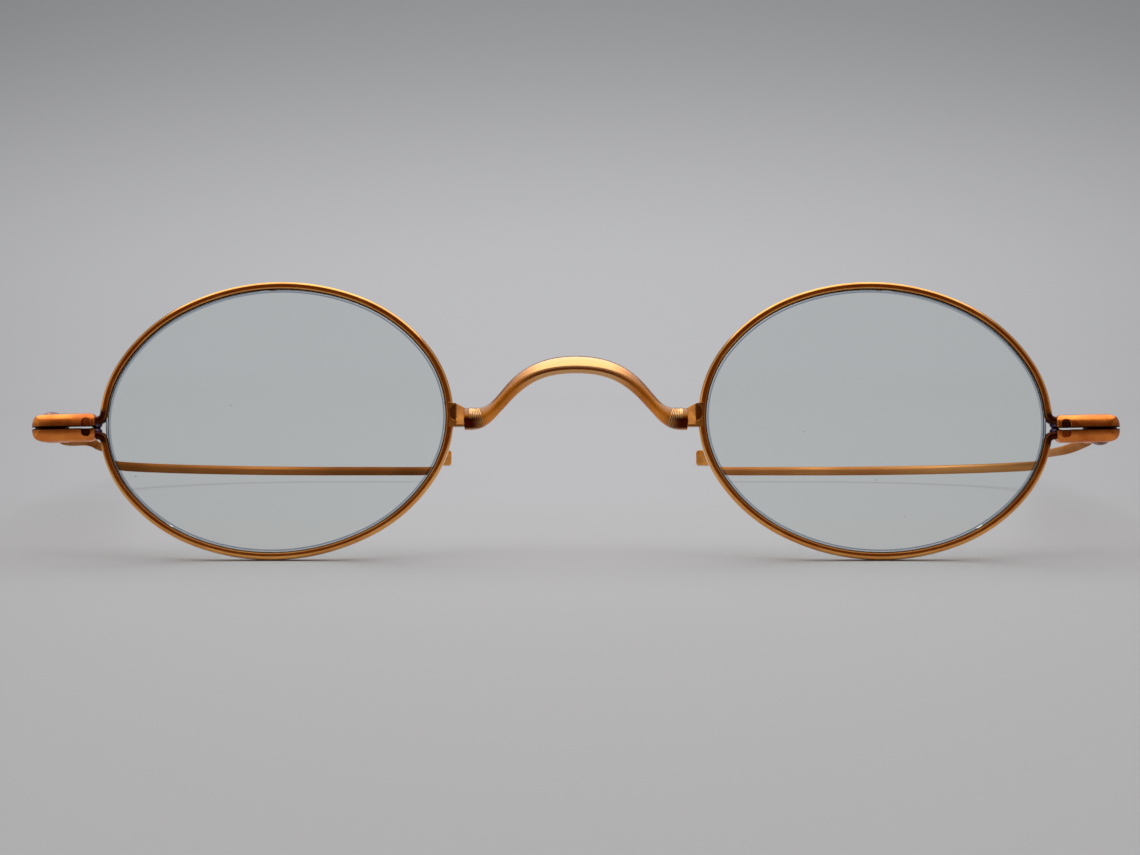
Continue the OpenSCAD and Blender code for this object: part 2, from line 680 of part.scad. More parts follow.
// The right temple's tip: a ferrule on the wire's end, and a flat upright paddle
module temple_tip() {
    translate([along(wire_to).x, tail_y, hinge_z]) {
        difference() {
            rotate([0, 90, 0]) cylinder(r = ferrule_r, h = ferrule_l);
            rotate([0, 90, 0]) cylinder(r = wire_tip_d / 2 + braze_gap, h = ferrule_l + cut);
        }
        translate([0, paddle_t / 2, 0]) rotate([90, 0, 0]) linear_extrude(paddle_t) {
            polygon([[0, -ferrule_r], [0, ferrule_r], [-paddle_flare, paddle_h / 2],
                [paddle_round - paddle_l, paddle_h / 2], [-paddle_l, paddle_h / 2 - paddle_round],
                [-paddle_l, paddle_round - paddle_h / 2], [paddle_round - paddle_l, -paddle_h / 2],
                [-paddle_flare, -paddle_h / 2]]);
            for (m = [-1, 1]) translate([paddle_round - paddle_l, m * (paddle_h / 2 - paddle_round)])
                circle(paddle_round);
        }
    }
}

module temple_tip_left() {
    color("peru") standing() turned_over() temple_tip();
}

module temple_tip_right() {
    color("peru") standing() temple_tip();
}

rim_left();
rim_right();
lens_left();
lens_right();
bridge();
bridge_foot_left();
bridge_foot_right();
endpiece_upper_left();
endpiece_lower_left();
endpiece_upper_right();
endpiece_lower_right();
hinge_screw_left();
hinge_screw_right();
temple_left();
temple_right();
temple_lug_left();
temple_lug_right();
temple_tip_left();
temple_tip_right();
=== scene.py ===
import json
import math

import bmesh
import bpy
from mathutils import Matrix, Vector


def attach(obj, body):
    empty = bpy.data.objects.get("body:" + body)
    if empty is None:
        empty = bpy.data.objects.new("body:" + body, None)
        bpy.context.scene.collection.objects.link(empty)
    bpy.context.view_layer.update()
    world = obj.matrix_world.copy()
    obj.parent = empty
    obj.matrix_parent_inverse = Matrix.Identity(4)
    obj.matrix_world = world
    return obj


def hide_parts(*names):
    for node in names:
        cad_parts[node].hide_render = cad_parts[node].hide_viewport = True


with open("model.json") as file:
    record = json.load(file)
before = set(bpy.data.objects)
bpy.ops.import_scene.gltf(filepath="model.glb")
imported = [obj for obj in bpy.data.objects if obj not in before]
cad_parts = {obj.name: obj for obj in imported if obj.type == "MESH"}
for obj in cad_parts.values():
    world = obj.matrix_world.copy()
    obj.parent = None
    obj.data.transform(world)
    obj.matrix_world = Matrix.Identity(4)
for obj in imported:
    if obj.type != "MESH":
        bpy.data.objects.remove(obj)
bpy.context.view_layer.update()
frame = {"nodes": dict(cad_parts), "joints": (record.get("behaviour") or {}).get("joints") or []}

# Rims
# Each rim is one length of grooved gold-filled wire, bent round its lens in a mould. The two
# ends turn outward side by side and are brazed into the halves of the split end piece, so
# that the hinge screw draws the rim closed on the lens.
MM = 0.001
lens_w = 37.3
lens_h = 29.0
lens_x = 32.55
lens_droop = math.radians(3.5)
ridge_h = 0.3
ridge_w = 0.84
rim_w = 0.88
rim_depth = 1.5
rim_turn_r = 0.8
seat_gap = 0.03
hinge_back = 1.35
hinge_drop = 0.8
bar_l = 5.2
half_z = 0.8125
joints = {joint["child"]: joint for joint in frame["joints"]}
hinge = joints["temple_right_arm"]
hinge_x = hinge["pos_m"][0] / MM


def degree_cos(angle):
    return math.cos(math.radians(angle))


def degree_sin(angle):
    return math.sin(math.radians(angle))


def front_to_row():
    """The front is drawn upright in mm, X right, Y back, Z up from the lens centres. It leans back
    as the hinge's axis does, and meets the row frame at the hinge."""
    lean = Matrix.Rotation(-math.atan2(hinge["axis"][1], hinge["axis"][2]), 4, "X")
    on_front = Vector((hinge_x, hinge_back, -hinge_drop)) * MM
    return Matrix.Translation(Vector(hinge["pos_m"]) - lean @ on_front) @ lean @ Matrix.Scale(MM, 4)


to_row = front_to_row()
mirrored = Matrix.Diagonal((-1, 1, 1, 1))


def oval_arcs():
    """The lens's outline in eight tangent arcs, each centre x, centre y, radius, from, to."""
    a, b = lens_w / 2, lens_h / 2
    end_to_side, side_to_top, end_blunt = 36, 66, 1.04
    end_r = end_blunt * b * b / a
    close_x = a - end_r * (1 - degree_cos(end_to_side))
    close_y = b - end_r * degree_sin(end_to_side)
    dx = degree_cos(end_to_side) - degree_cos(side_to_top)
    dy = degree_sin(side_to_top) - degree_sin(end_to_side)
    rest = 1 - degree_sin(side_to_top)
    det = dx * rest - degree_cos(side_to_top) * dy
    side_r = (close_x * rest - degree_cos(side_to_top) * close_y) / det
    top_r = (dx * close_y - dy * close_x) / det
    end_x = a - end_r
    side_x = end_x - (side_r - end_r) * degree_cos(end_to_side)
    side_y = (side_r - end_r) * degree_sin(end_to_side)
    top_y = top_r - b
    return [
        (end_x, 0, end_r, -end_to_side, end_to_side),
        (side_x, -side_y, side_r, end_to_side, side_to_top),
        (0, -top_y, top_r, side_to_top, 180 - side_to_top),
        (-side_x, -side_y, side_r, 180 - side_to_top, 180 - end_to_side),
        (-end_x, 0, end_r, 180 - end_to_side, 180 + end_to_side),
        (-side_x, side_y, side_r, 180 + end_to_side, 180 + side_to_top),
        (0, top_y, top_r, 180 + side_to_top, 360 - side_to_top),
        (side_x, side_y, side_r, 360 - side_to_top, 360 - end_to_side),
    ]


def arc_stops(x, y, r, start, end, step=1.5, away=0):
    """Stops along an arc without its end, each a place and the direction away from the lens."""
    steps = math.ceil(abs(end - start) / step)
    angles = [start + (end - start) * i / steps for i in range(steps)]
    return [(x + r * degree_cos(t), y + r * degree_sin(t), t + away) for t in angles]


def rim_stops():
    """In at the upper stub, round the lens and out at the lower stub, in the lens's plane."""
    droop = math.degrees(lens_droop)
    arcs = oval_arcs()
    end_x, _, end_r, _, end_to_side = arcs[0]
    wire_set = seat_gap - ridge_h + rim_w / 2
    reach = end_r + wire_set + rim_turn_r
    sink = end_x * math.sin(lens_droop)
    rise = half_z + rim_turn_r
    upper = math.degrees(math.asin((rise - hinge_drop + sink) / reach)) + droop
    lower = math.degrees(math.asin((rise + hinge_drop - sink) / reach)) - droop
    stub_end = hinge_x - bar_l - lens_x

    def stub(side, part):
        """The turn's centre, where the wire runs level after it, and where the stub ends."""
        x = end_x + reach * degree_cos(part)
        y = side * reach * degree_sin(part)
        level_x = x + side * rim_turn_r * math.sin(lens_droop)
        level_y = y - side * rim_turn_r * math.cos(lens_droop)
        run = stub_end - (x * math.cos(lens_droop) + y * math.sin(lens_droop))
        far = (level_x + run * math.cos(lens_droop), level_y + run * math.sin(lens_droop), droop + side * 90)
        return x, y, (level_x, level_y, droop + side * 90), far

    ux, uy, _, upper_far = stub(1, upper)
    lx, ly, lower_near, lower_far = stub(-1, lower)
    stops = [upper_far]
    stops += arc_stops(ux, uy, rim_turn_r, 270 + droop, 180 + upper, 6, 180)
    stops += arc_stops(end_x, 0, end_r + wire_set, upper, end_to_side)
    for x, y, r, start, end in arcs[1:]:
        stops += arc_stops(x, y, r + wire_set, start, end)
    stops += arc_stops(end_x, 0, end_r + wire_set, -end_to_side, -lower)
    stops += arc_stops(lx, ly, rim_turn_r, 180 - lower, 90 + droop, 6, 180)
    return stops + [lower_near, lower_far]


def rim_section():
    """The grooved wire's section, from one lip of the groove round the outside to the other. Its
    front and back are flatter than a circle, as the rolls leave them."""
    half, flat, power = rim_w / 2, rim_depth / 2 - rim_w / 2, 2.7
    mouth_rise = ((ridge_w / 2 - flat) / half) ** (power / 2)
    mouth = 180 - math.degrees(math.asin(mouth_rise))
    steps = 20

    def squarish(part):
        return math.copysign(abs(part) ** (2 / power), part) * half

    edge = [mouth * (1 - i / steps) for i in range(steps + 1)]
    front = [(squarish(degree_cos(t)), flat + squarish(degree_sin(t))) for t in edge]
    return front + [(x, -y) for x, y in reversed(front)] + [(ridge_h - half, 0)]


def tube(name, rings, sharp=35):
    """A closed tube through rings of points, with a UV map in mm: along the tube, round it."""
    sides = len(rings[0])
    middles = [sum(ring, Vector()) / sides for ring in rings]
    along = [0.0]
    for a, b in zip(middles, middles[1:]):
        along.append(along[-1] + (b - a).length)
    widest = max(rings, key=lambda ring: (ring[0] - ring[sides // 2]).length)
    around = [0.0]
    for k in range(sides):
        around.append(around[-1] + (widest[(k + 1) % sides] - widest[k]).length)
    faces = []
    for i in range(len(rings) - 1):
        for k in range(sides):
            a, b = i * sides + k, i * sides + (k + 1) % sides
            faces.append((a, b, b + sides, a + sides))
    last = (len(rings) - 1) * sides
    faces += [tuple(reversed(range(sides))), tuple(range(last, last + sides))]
    mesh = bpy.data.meshes.new(name)
    mesh.from_pydata([p for ring in rings for p in ring], [], faces)
    uv = mesh.uv_layers.new(name="mm")
    for face in mesh.polygons:
        seam = any(v % sides == sides - 1 for v in face.vertices) and len(face.vertices) == 4
        for loop in face.loop_indices:
            v = mesh.loops[loop].vertex_index
            k = sides if seam and v % sides == 0 else v % sides
            uv.data[loop].uv = (along[v // sides], around[k])
    return finish_mesh(mesh, sharp)


def finish_mesh(mesh, sharp=35):
    """Normals outward, smooth, with edges kept sharp past an angle."""
    bm = bmesh.new()
    bm.from_mesh(mesh)
    bmesh.ops.recalc_face_normals(bm, faces=bm.faces)
    bm.to_mesh(mesh)
    bm.free()
    mesh.shade_smooth()
    mesh.set_sharp_from_angle(angle=math.radians(sharp))
    return mesh


def moved(mesh, *steps):
    """A copy of a mesh drawn in mm on the upright front, put in its place in the row frame."""
    place = to_row
    for step in steps:
        place = place @ step
    copy = mesh.copy()
    copy.transform(place)
    if place.determinant() < 0:
        copy.flip_normals()
    return copy


def fit(name, mesh, material, node, body):
    """Shows a mesh, in place of its CAD node where it has one, and lets it ride on its body."""
    mesh.materials.clear()
    mesh.materials.append(material)
    piece = bpy.data.objects.new(name, mesh)
    bpy.context.scene.collection.objects.link(piece)
    if node:
        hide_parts(node)
    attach(piece, body)
    return piece


def linear(hex_colour, alpha=1.0):
    """An sRGB hex colour as the linear values that shaders take."""
    parts = [int(hex_colour[i : i + 2], 16) / 255 for i in (1, 3, 5)]
    return [c / 12.92 if c <= 0.04045 else ((c + 0.055) / 1.055) ** 2.4 for c in parts] + [alpha]


def port(sockets, key):
    """A socket by its identifier, or else by its name or number."""
    return next((socket for socket in sockets if socket.identifier == key), None) or sockets[key]


def fill(tree, node, inputs):
    """Sets a node's inputs, or links those whose value is a socket or a node's first output."""
    for key, value in inputs.items():
        if isinstance(value, bpy.types.Node):
            value = value.outputs[0]
        if isinstance(value, bpy.types.NodeSocket):
            tree.links.new(value, port(node.inputs, key))
        else:
            port(node.inputs, key).default_value = value


def add(tree, kind, inputs=None, **settings):
    """Adds a node with its settings and its inputs."""
    node = tree.nodes.new(kind)
    for key, value in settings.items():
        setattr(node, key, value)
    fill(tree, node, inputs or {})
    return node


def zone(tree, *edges, unit=MM):
    """A mask for wear, dirt or shade, 1 inside and 0 outside. Each of its soft edges is a value, the
    limit outside and the limit inside, in mm unless the unit says otherwise."""
    mask = None
    for value, outside, inside in edges:
        edge = add(
            tree, "ShaderNodeMapRange",
            {"Value": value, "From Min": outside * unit, "From Max": inside * unit},
            interpolation_type="SMOOTHSTEP")
        mask = add(tree, "ShaderNodeMath", {0: mask, 1: edge}, operation="MULTIPLY") if mask else edge
    return mask


# Rolled gold on a copper-rich brass core, polished by handling: a red-gold metal whose broad
# patches differ in colour and polish where the gold has worn thin. A thin film of wax and skin
# oil gives the highlights a pale edge. The drawing die leaves faint lines along a wire, about
# 0.05 mm apart, drawn here at 0.15 mm so that they show. Where nothing rubs it, it goes dull, and
# what faces up is darkened brown: dust, and painted shade on the tops.
dust_and_top_shade_colour = "#5E4020"
dent_mm = 1.3


def gold_filled(name, bright, worn, rough=0.13, patch_mm=5.0, line_mm=0.0, film=0.6, haze_mm=1.1,
                dents=0.3, dull=None, rubbed=None, shade_and_dirt=None, shade_and_dirt_colour="#5C2411", edge="#FFFFFF"):
    material = bpy.data.materials.new(name)
    material.use_nodes = True
    tree = material.node_tree
    shader = tree.nodes["Principled BSDF"]
    where = add(tree, "ShaderNodeTexCoord")
    patches = add(
        tree, "ShaderNodeTexNoise",
        {"Vector": where.outputs["Object"], "Scale": 1 / (patch_mm * MM), "Detail": 3.0, "Roughness": 0.55})
    share = add(
        tree, "ShaderNodeMapRange",
        {"Value": patches.outputs["Fac"], "From Min": 0.4, "From Max": 0.7})
    colour = add(
        tree, "ShaderNodeMix",
        {"Factor": share.outputs["Result"], "A_Color": linear(bright), "B_Color": linear(worn)},
        data_type="RGBA").outputs[2]
    haze = add(
        tree, "ShaderNodeTexNoise",
        {"Vector": where.outputs["Object"], "Scale": 1 / (haze_mm * MM), "Detail": 3.0, "Roughness": 0.6})
    roughness = add(
        tree, "ShaderNodeMapRange",
        {"Value": haze.outputs["Fac"], "From Min": 0.35, "From Max": 0.7,
         "To Min": rough * 0.7, "To Max": rough * 1.8})
    metallic, coat = 1.0, film
    if dull:
        amount = dull(tree, where)
        # Where the mask is low, the paler rubbed gold paints the cream of the highlight.
        colour = add(
            tree, "ShaderNodeMix", {"Factor": amount, "A_Color": linear(rubbed), "B_Color": colour},
            data_type="RGBA").outputs[2]
        roughness = add(
            tree, "ShaderNodeMapRange", {"Value": amount, "To Min": roughness, "To Max": 0.46})
        # What faces up is darkened brown: dust, and painted shade on the tops.
        normal = add(tree, "ShaderNodeNewGeometry").outputs["Normal"]
        facing_up = add(tree, "ShaderNodeSeparateXYZ", {"Vector": normal}).outputs["Z"]
        dust_and_top_shade = add(
            tree, "ShaderNodeMath", {0: amount, 1: zone(tree, (facing_up, 0.15, 0.7), unit=1)},
            operation="MULTIPLY")
        dust_and_top_shade_share = add(tree, "ShaderNodeMath", {0: dust_and_top_shade, 1: 0.72}, operation="MULTIPLY")
        colour = add(
            tree, "ShaderNodeMix",
            {"Factor": dust_and_top_shade_share, "A_Color": colour, "B_Color": linear(dust_and_top_shade_colour)},
            data_type="RGBA").outputs[2]
        metallic = add(tree, "ShaderNodeMapRange", {"Value": dust_and_top_shade, "To Min": 1.0, "To Max": 0.5})
    # Painted shade, with dirt in some places: a mask darkens the colour and takes the film away.
    if shade_and_dirt:
        amount = shade_and_dirt(tree, where)
        colour = add(
            tree, "ShaderNodeMix",
            {"Factor": amount, "A_Color": colour, "B_Color": linear(shade_and_dirt_colour)},
            data_type="RGBA").outputs[2]
        roughness = add(
            tree, "ShaderNodeMapRange", {"Value": amount, "To Min": roughness, "To Max": 0.34})
        coat = add(tree, "ShaderNodeMapRange", {"Value": amount, "To Min": film, "To Max": 0.0})
    wavy = add(
        tree, "ShaderNodeTexNoise",
        {"Vector": where.outputs["Object"], "Scale": 1 / (dent_mm * MM), "Detail": 1.0})
    normal = add(
        tree, "ShaderNodeBump", {"Height": wavy.outputs["Fac"], "Strength": dents, "Distance": 0.02 * MM})
    if line_mm:
        stretched = add(
            tree, "ShaderNodeMapping",
            {"Vector": where.outputs["UV"], "Scale": (0.04 / line_mm, 1 / line_mm, 1.0)})
        lines = add(
            tree, "ShaderNodeTexNoise",
            {"Vector": stretched.outputs["Vector"], "Scale": 1.0, "Detail": 2.0, "Roughness": 0.6})
        normal = add(
            tree, "ShaderNodeBump",
            {"Height": lines.outputs["Fac"], "Strength": 0.18, "Distance": 0.006 * MM, "Normal": normal})
    fill(tree, shader, {
        "Base Color": colour, "Metallic": metallic, "Roughness": roughness, "Normal": normal,
        "Specular Tint": linear(edge), "Coat Weight": coat, "Coat Roughness": 0.12})
    return material


def side_of(tree, where):
    """1 on the right and -1 on the left."""
    place = add(tree, "ShaderNodeSeparateXYZ", {"Vector": where.outputs["Object"]})
    return add(tree, "ShaderNodeMath", {0: place.outputs["X"]}, operation="SIGN")


# The direction from a piece's front to its back, square to both hinges' screws
backward = (to_row.to_3x3() @ Vector((0, 1, 0))).normalized()


def from_hinge(tree, where):
    """Places measured from the nearer hinge's centre: away from the rim, towards the back and up
    the screw. Both screws lean the same way, so the left one is no mirror image of the right one."""
    x, y, z = hinge["pos_m"]
    side = side_of(tree, where)
    centre_x = add(tree, "ShaderNodeMath", {0: side, 1: x}, operation="MULTIPLY")
    centre = add(tree, "ShaderNodeCombineXYZ", {"X": centre_x, "Y": y, "Z": z})
    offset = add(
        tree, "ShaderNodeVectorMath", {0: where.outputs["Object"], 1: centre}, operation="SUBTRACT")
    screw = Vector(hinge["axis"])
    right, back, up = [
        add(tree, "ShaderNodeVectorMath", {0: offset, 1: tuple(way)},
            operation="DOT_PRODUCT").outputs["Value"]
        for way in (backward.cross(screw), backward, screw)
    ]
    out = add(tree, "ShaderNodeMath", {0: right, 1: side}, operation="MULTIPLY")
    return out, back, up


# The wire is darkened along the groove's two lips, against the lens, thinning out within half a millimetre:
# painted shade in the crease between wire and lens, with some dirt. The two turned ends are darkened where
# they face each other: painted shade between them.
lip_darkened = 0.24
lip_clear = 0.46


def rim_shade_and_dirt(tree, where):
    out, _, up = from_hinge(tree, where)
    height = add(tree, "ShaderNodeMath", {0: up}, operation="ABSOLUTE")
    ends = zone(tree, (out, -bar_l - 2.2, -bar_l - 0.7), (height, 2.3, 1.5))
    around = add(tree, "ShaderNodeSeparateXYZ", {"Vector": where.outputs["UV"]}).outputs["Y"]
    section = rim_section()
    whole = sum(math.dist(a, b) for a, b in zip(section[:-2], section[1:-1]))
    front_lip = zone(tree, (around, lip_clear, lip_darkened), unit=1)
    back_lip = zone(tree, (around, whole - lip_clear, whole - lip_darkened), unit=1)
    lips = add(tree, "ShaderNodeMath", {0: front_lip, 1: back_lip}, operation="MAXIMUM")
    return add(tree, "ShaderNodeMath", {0: ends, 1: lips}, operation="MAXIMUM")


rim_gold = gold_filled(
    "Rolled_gold_rim_wire", "#F8B058", "#DE8C3A", line_mm=0.15, shade_and_dirt=rim_shade_and_dirt,
    shade_and_dirt_colour="#4A2010")
lens_plane = (
    Matrix.Translation((lens_x, 0, 0))
    @ Matrix.Rotation(lens_droop, 4, "Y")
    @ Matrix.Rotation(math.pi / 2, 4, "X"))
rim_rings = [
    [Vector((x + out * degree_cos(t), y + out * degree_sin(t), depth)) for out, depth in rim_section()]
    for x, y, t in rim_stops()
]
rim_mesh = tube("rim", rim_rings)
fit("rim_wire_right", moved(rim_mesh, lens_plane), rim_gold, "rim_right", "front")
fit("rim_wire_left", moved(rim_mesh, mirrored, lens_plane), rim_gold, "rim_left", "front")

# Lenses
# Ground crown glass, a weak plus lens for reading: both faces are parts of one large sphere.
# The edge is ground to a blunt ridge that sits in the rim's groove.
lens_edge = 1.0
lens_dome = 0.5
face_rings = 28


def lens_outline(inset):
    """The oval's points, drawn in by an inset."""
    return [(x, y) for arc in oval_arcs() for x, y, _ in arc_stops(arc[0], arc[1], arc[2] - inset, *arc[3:])]


def lens_mesh():
    """A lens in mm with a UV map in mm: the distance in from its edge, and the height."""
    sphere_r = ((lens_w / 2) ** 2 + lens_dome**2) / (2 * lens_dome)
    inner, crest = lens_outline(ridge_h), lens_outline(0)
    count = len(inner)

    def face_z(x, y):
        return lens_edge / 2 + lens_dome - sphere_r + math.sqrt(sphere_r**2 - x * x - y * y)

    rings = []
    for side in (1, -1):
        shares = [(i + 1) / face_rings for i in range(face_rings)]
        face = [[Vector((s * x, s * y, side * face_z(s * x, s * y))) for x, y in inner] for s in shares]
        foot = [Vector((x, y, side * ridge_w / 2)) for x, y in inner]
        rings += face + [foot] if side > 0 else [foot] + face[::-1]
        if side > 0:
            rings.append([Vector((x, y, 0)) for x, y in crest])
    points = [p for ring in rings for p in ring]
    points += [Vector((0, 0, face_z(0, 0))), Vector((0, 0, -face_z(0, 0)))]
    faces = []
    for i in range(len(rings) - 1):
        for k in range(count):
            a, b = i * count + k, i * count + (k + 1) % count
            faces.append((a, b, b + count, a + count))
    last = (len(rings) - 1) * count
    faces += [(len(points) - 2, (k + 1) % count, k) for k in range(count)]
    faces += [(len(points) - 1, last + k, last + (k + 1) % count) for k in range(count)]
    mesh = bpy.data.meshes.new("lens")
    mesh.from_pydata(points, [], faces)
    edge_at = [math.hypot(*place) for place in lens_outline(0)]
    uv = mesh.uv_layers.new(name="mm")
    for loop in mesh.loops:
        p = points[loop.vertex_index]
        uv.data[loop.index].uv = (edge_at[loop.vertex_index % count] - math.hypot(p.x, p.y), p.z)
    return finish_mesh(mesh, 20)


# Crown glass, clear and polished, with the faint green of old glass. A thin grey-blue line beside
# the rim, over the ground bevel, is painted: it stands in for the light that the bevel's edge
# bends. A few specks of dust lie on the glass. Lamps shine through it, so that its shadow is as pale as a
# real lens's.
bevel_in = 0.56
speck_mm = 2.8


def spectacle_glass():
    material = bpy.data.materials.new("Polished_crown_glass")
    material.use_nodes = True
    tree = material.node_tree
    shader = tree.nodes["Principled BSDF"]
    where = add(tree, "ShaderNodeTexCoord")
    inward = add(tree, "ShaderNodeSeparateXYZ", {"Vector": where.outputs["UV"]}).outputs["X"]
    painted_bevel_line = zone(tree, (inward, ridge_h, 0.46), (inward, bevel_in, 0.5), unit=1)
    cells = add(
        tree, "ShaderNodeTexVoronoi", {"Vector": where.outputs["Object"], "Scale": 1 / (speck_mm * MM)})
    pick = add(tree, "ShaderNodeSeparateColor", {"Color": cells.outputs["Color"]})
    speck = zone(
        tree, (cells.outputs["Distance"], 0.034, 0.02), (pick.outputs["Red"], 0.5, 0.55), unit=1)
    colour = linear("#F3F9F8")
    for share, mark in ((painted_bevel_line, "#98A6B6"), (speck, "#8E8A82")):
        colour = add(
            tree, "ShaderNodeMix", {"Factor": share, "A_Color": colour, "B_Color": linear(mark)},
            data_type="RGBA").outputs[2]
    fill(tree, shader, {
        "Base Color": colour, "Roughness": 0.0, "IOR": 1.523, "Transmission Weight": 1.0})
    clear = add(tree, "ShaderNodeBsdfTransparent", {"Color": linear("#EEF3F1")})
    path = add(tree, "ShaderNodeLightPath")
    surface = add(tree, "ShaderNodeMixShader", {0: path.outputs["Is Shadow Ray"], 1: shader, 2: clear})
    fill(tree, tree.nodes["Material Output"], {"Surface": surface})
    return material


crown_glass = spectacle_glass()
lens = lens_mesh()
fit("lens_glass_right", moved(lens, lens_plane), crown_glass, "lens_right", "front")
fit("lens_glass_left", moved(lens, mirrored, lens_plane), crown_glass, "lens_left", "front")

# Bridge
# One thick wire, swaged broad and flat at the crest that rests on the nose, thinner along its
# limbs, and turned to a round neck at each end. The lathe left fine rings round the necks.
bridge_x = 12.1029
neck_l = 1.2
neck_d = 2.4
neck_z = 0.2
limb_x = bridge_x - neck_l / 2
crest_z = 6.2
crest_back = 1.0
crest_w = 2.8
crest_t = 1.5
crest_tilt = math.radians(55)
limb_t = 1.46
pull_low = 4.0
pull_high = 7.9
neck_share = 0.32
thin_share = 0.4


def smooth(t):
    """A share from 0 to 1 that starts and ends gently."""
    return t * t * (3 - 2 * t)


def curve(t, a, b, c, d):
    """One coordinate of a Bezier curve from a to d, pulled by b and c."""
    return a * (1 - t) ** 3 + 3 * b * t * (1 - t) ** 2 + 3 * c * t * t * (1 - t) + d * t**3


def limb_at(t):
    """The wire's middle, from the neck's end to the crest, on the right half."""
    return Vector((
        curve(t, limb_x, limb_x - pull_low, pull_high, 0),
        crest_back * smooth(t),
        curve(t, neck_z, neck_z, crest_z, crest_z)))


def limb_size(t, neck, thin, crest):
    """The wire's width along the limb: from the neck to the thin stretch and on to the crest."""
    if t < neck_share:
        return neck + (thin - neck) * smooth(t / neck_share)
    return thin + (crest - thin) * smooth(max(t - thin_share, 0) / (1 - thin_share))


def bridge_mesh():
    """The whole wire in mm, swept through both necks and limbs and over the crest."""
    sides, neck_steps, limb_steps = 40, 4, 90
    back = Vector((0, 1, 0))
    stops = []
    for i in range(neck_steps):
        x = bridge_x - (bridge_x - limb_x) * i / neck_steps
        stops.append((Vector((x, 0, neck_z)), Vector((0, 0, 1)), neck_d / 2, neck_d / 2))
    for i in range(limb_steps + 1):
        t = i / limb_steps
        run = limb_at(min(t + 0.01, 1)) - limb_at(max(t - 0.01, 0))
        up = Vector((run.z, 0, -run.x)).normalized()
        broad = limb_size(t, neck_d, limb_t, crest_w) / 2
        thin = limb_size(t, neck_d, limb_t, crest_t) / 2
        stops.append((limb_at(t), up, broad, thin))
    whole = [(-1, stop) for stop in stops] + [(1, stop) for stop in reversed(stops[:-1])]
    rings = []
    for side, (middle, up, broad, thin) in whole:
        tilt = crest_tilt * smooth(max(0.0, (middle.z - neck_z) / (crest_z - neck_z)))
        broad_way = up * math.cos(tilt) + back * math.sin(tilt)
        thin_way = back * math.cos(tilt) - up * math.sin(tilt)
        ring = []
        for k in range(sides):
            a = 2 * math.pi * k / sides
            p = middle + broad_way * broad * math.sin(a) + thin_way * thin * math.cos(a)
            ring.append(Vector((side * p.x, p.y, p.z)))
        rings.append(ring)
    return tube("bridge", rings)


def off_centre(tree, where):
    """How far a place lies from the glasses' middle, to either side."""
    place = add(tree, "ShaderNodeSeparateXYZ", {"Vector": where.outputs["Object"]})
    return add(tree, "ShaderNodeMath", {0: place.outputs["X"]}, operation="ABSOLUTE")


# The lower side of each neck is painted dark red-brown: a painted reflection of the dark room in front.
neck_shade_colour = "#4A1202"


def neck_underside_shade(tree, where):
    height = add(tree, "ShaderNodeSeparateXYZ", {"Vector": where.outputs["Object"]}).outputs["Z"]
    neck_row = (to_row @ Vector((0, 0, neck_z))).z / MM
    return zone(
        tree, (off_centre(tree, where), limb_x - 2.4, limb_x - 0.2),
        (height, neck_row + 0.6, neck_row), (height, neck_row - 1.2, neck_row - 0.85))


# The nose keeps the crest polished, and it is given a paler, creamier gold than the limbs, which paints the
# cream of its highlight. The limbs and necks, which nothing rubs, have gone dull.
crest_bright_to = 3.4
limb_dull_from = 7.4


def limb_dulling(tree, where):
    return zone(tree, (off_centre(tree, where), crest_bright_to, limb_dull_from))


bridge_gold = gold_filled(
    "Rolled_gold_bridge_wire", "#F09426", "#D0781C", patch_mm=4.0, line_mm=0.15,
    dull=limb_dulling, rubbed="#DCA468", shade_and_dirt=neck_underside_shade, shade_and_dirt_colour=neck_shade_colour)
fit("bridge_wire", moved(bridge_mesh()), bridge_gold, "bridge", "front")


def socket_id(tree, name):
    """The identifier of a named input, which is what a modifier's value is set by."""
    return next(item.identifier for item in tree.interface.items_tree if item.name == name)


def shaped(name, path_mesh, tree, values):
    """Runs a Geometry Nodes tree on a mesh and returns the plain mesh that comes out."""
    base = bpy.data.objects.new(name, path_mesh)
    bpy.context.scene.collection.objects.link(base)
    modifier = base.modifiers.new("shape", "NODES")
    modifier.node_group = tree
    for key, value in values.items():
        modifier[socket_id(tree, key)] = value
    graph = bpy.context.evaluated_depsgraph_get()
    mesh = bpy.data.meshes.new_from_object(base.evaluated_get(graph))
    base.modifiers.remove(modifier)
    bpy.data.objects.remove(base)
    return mesh


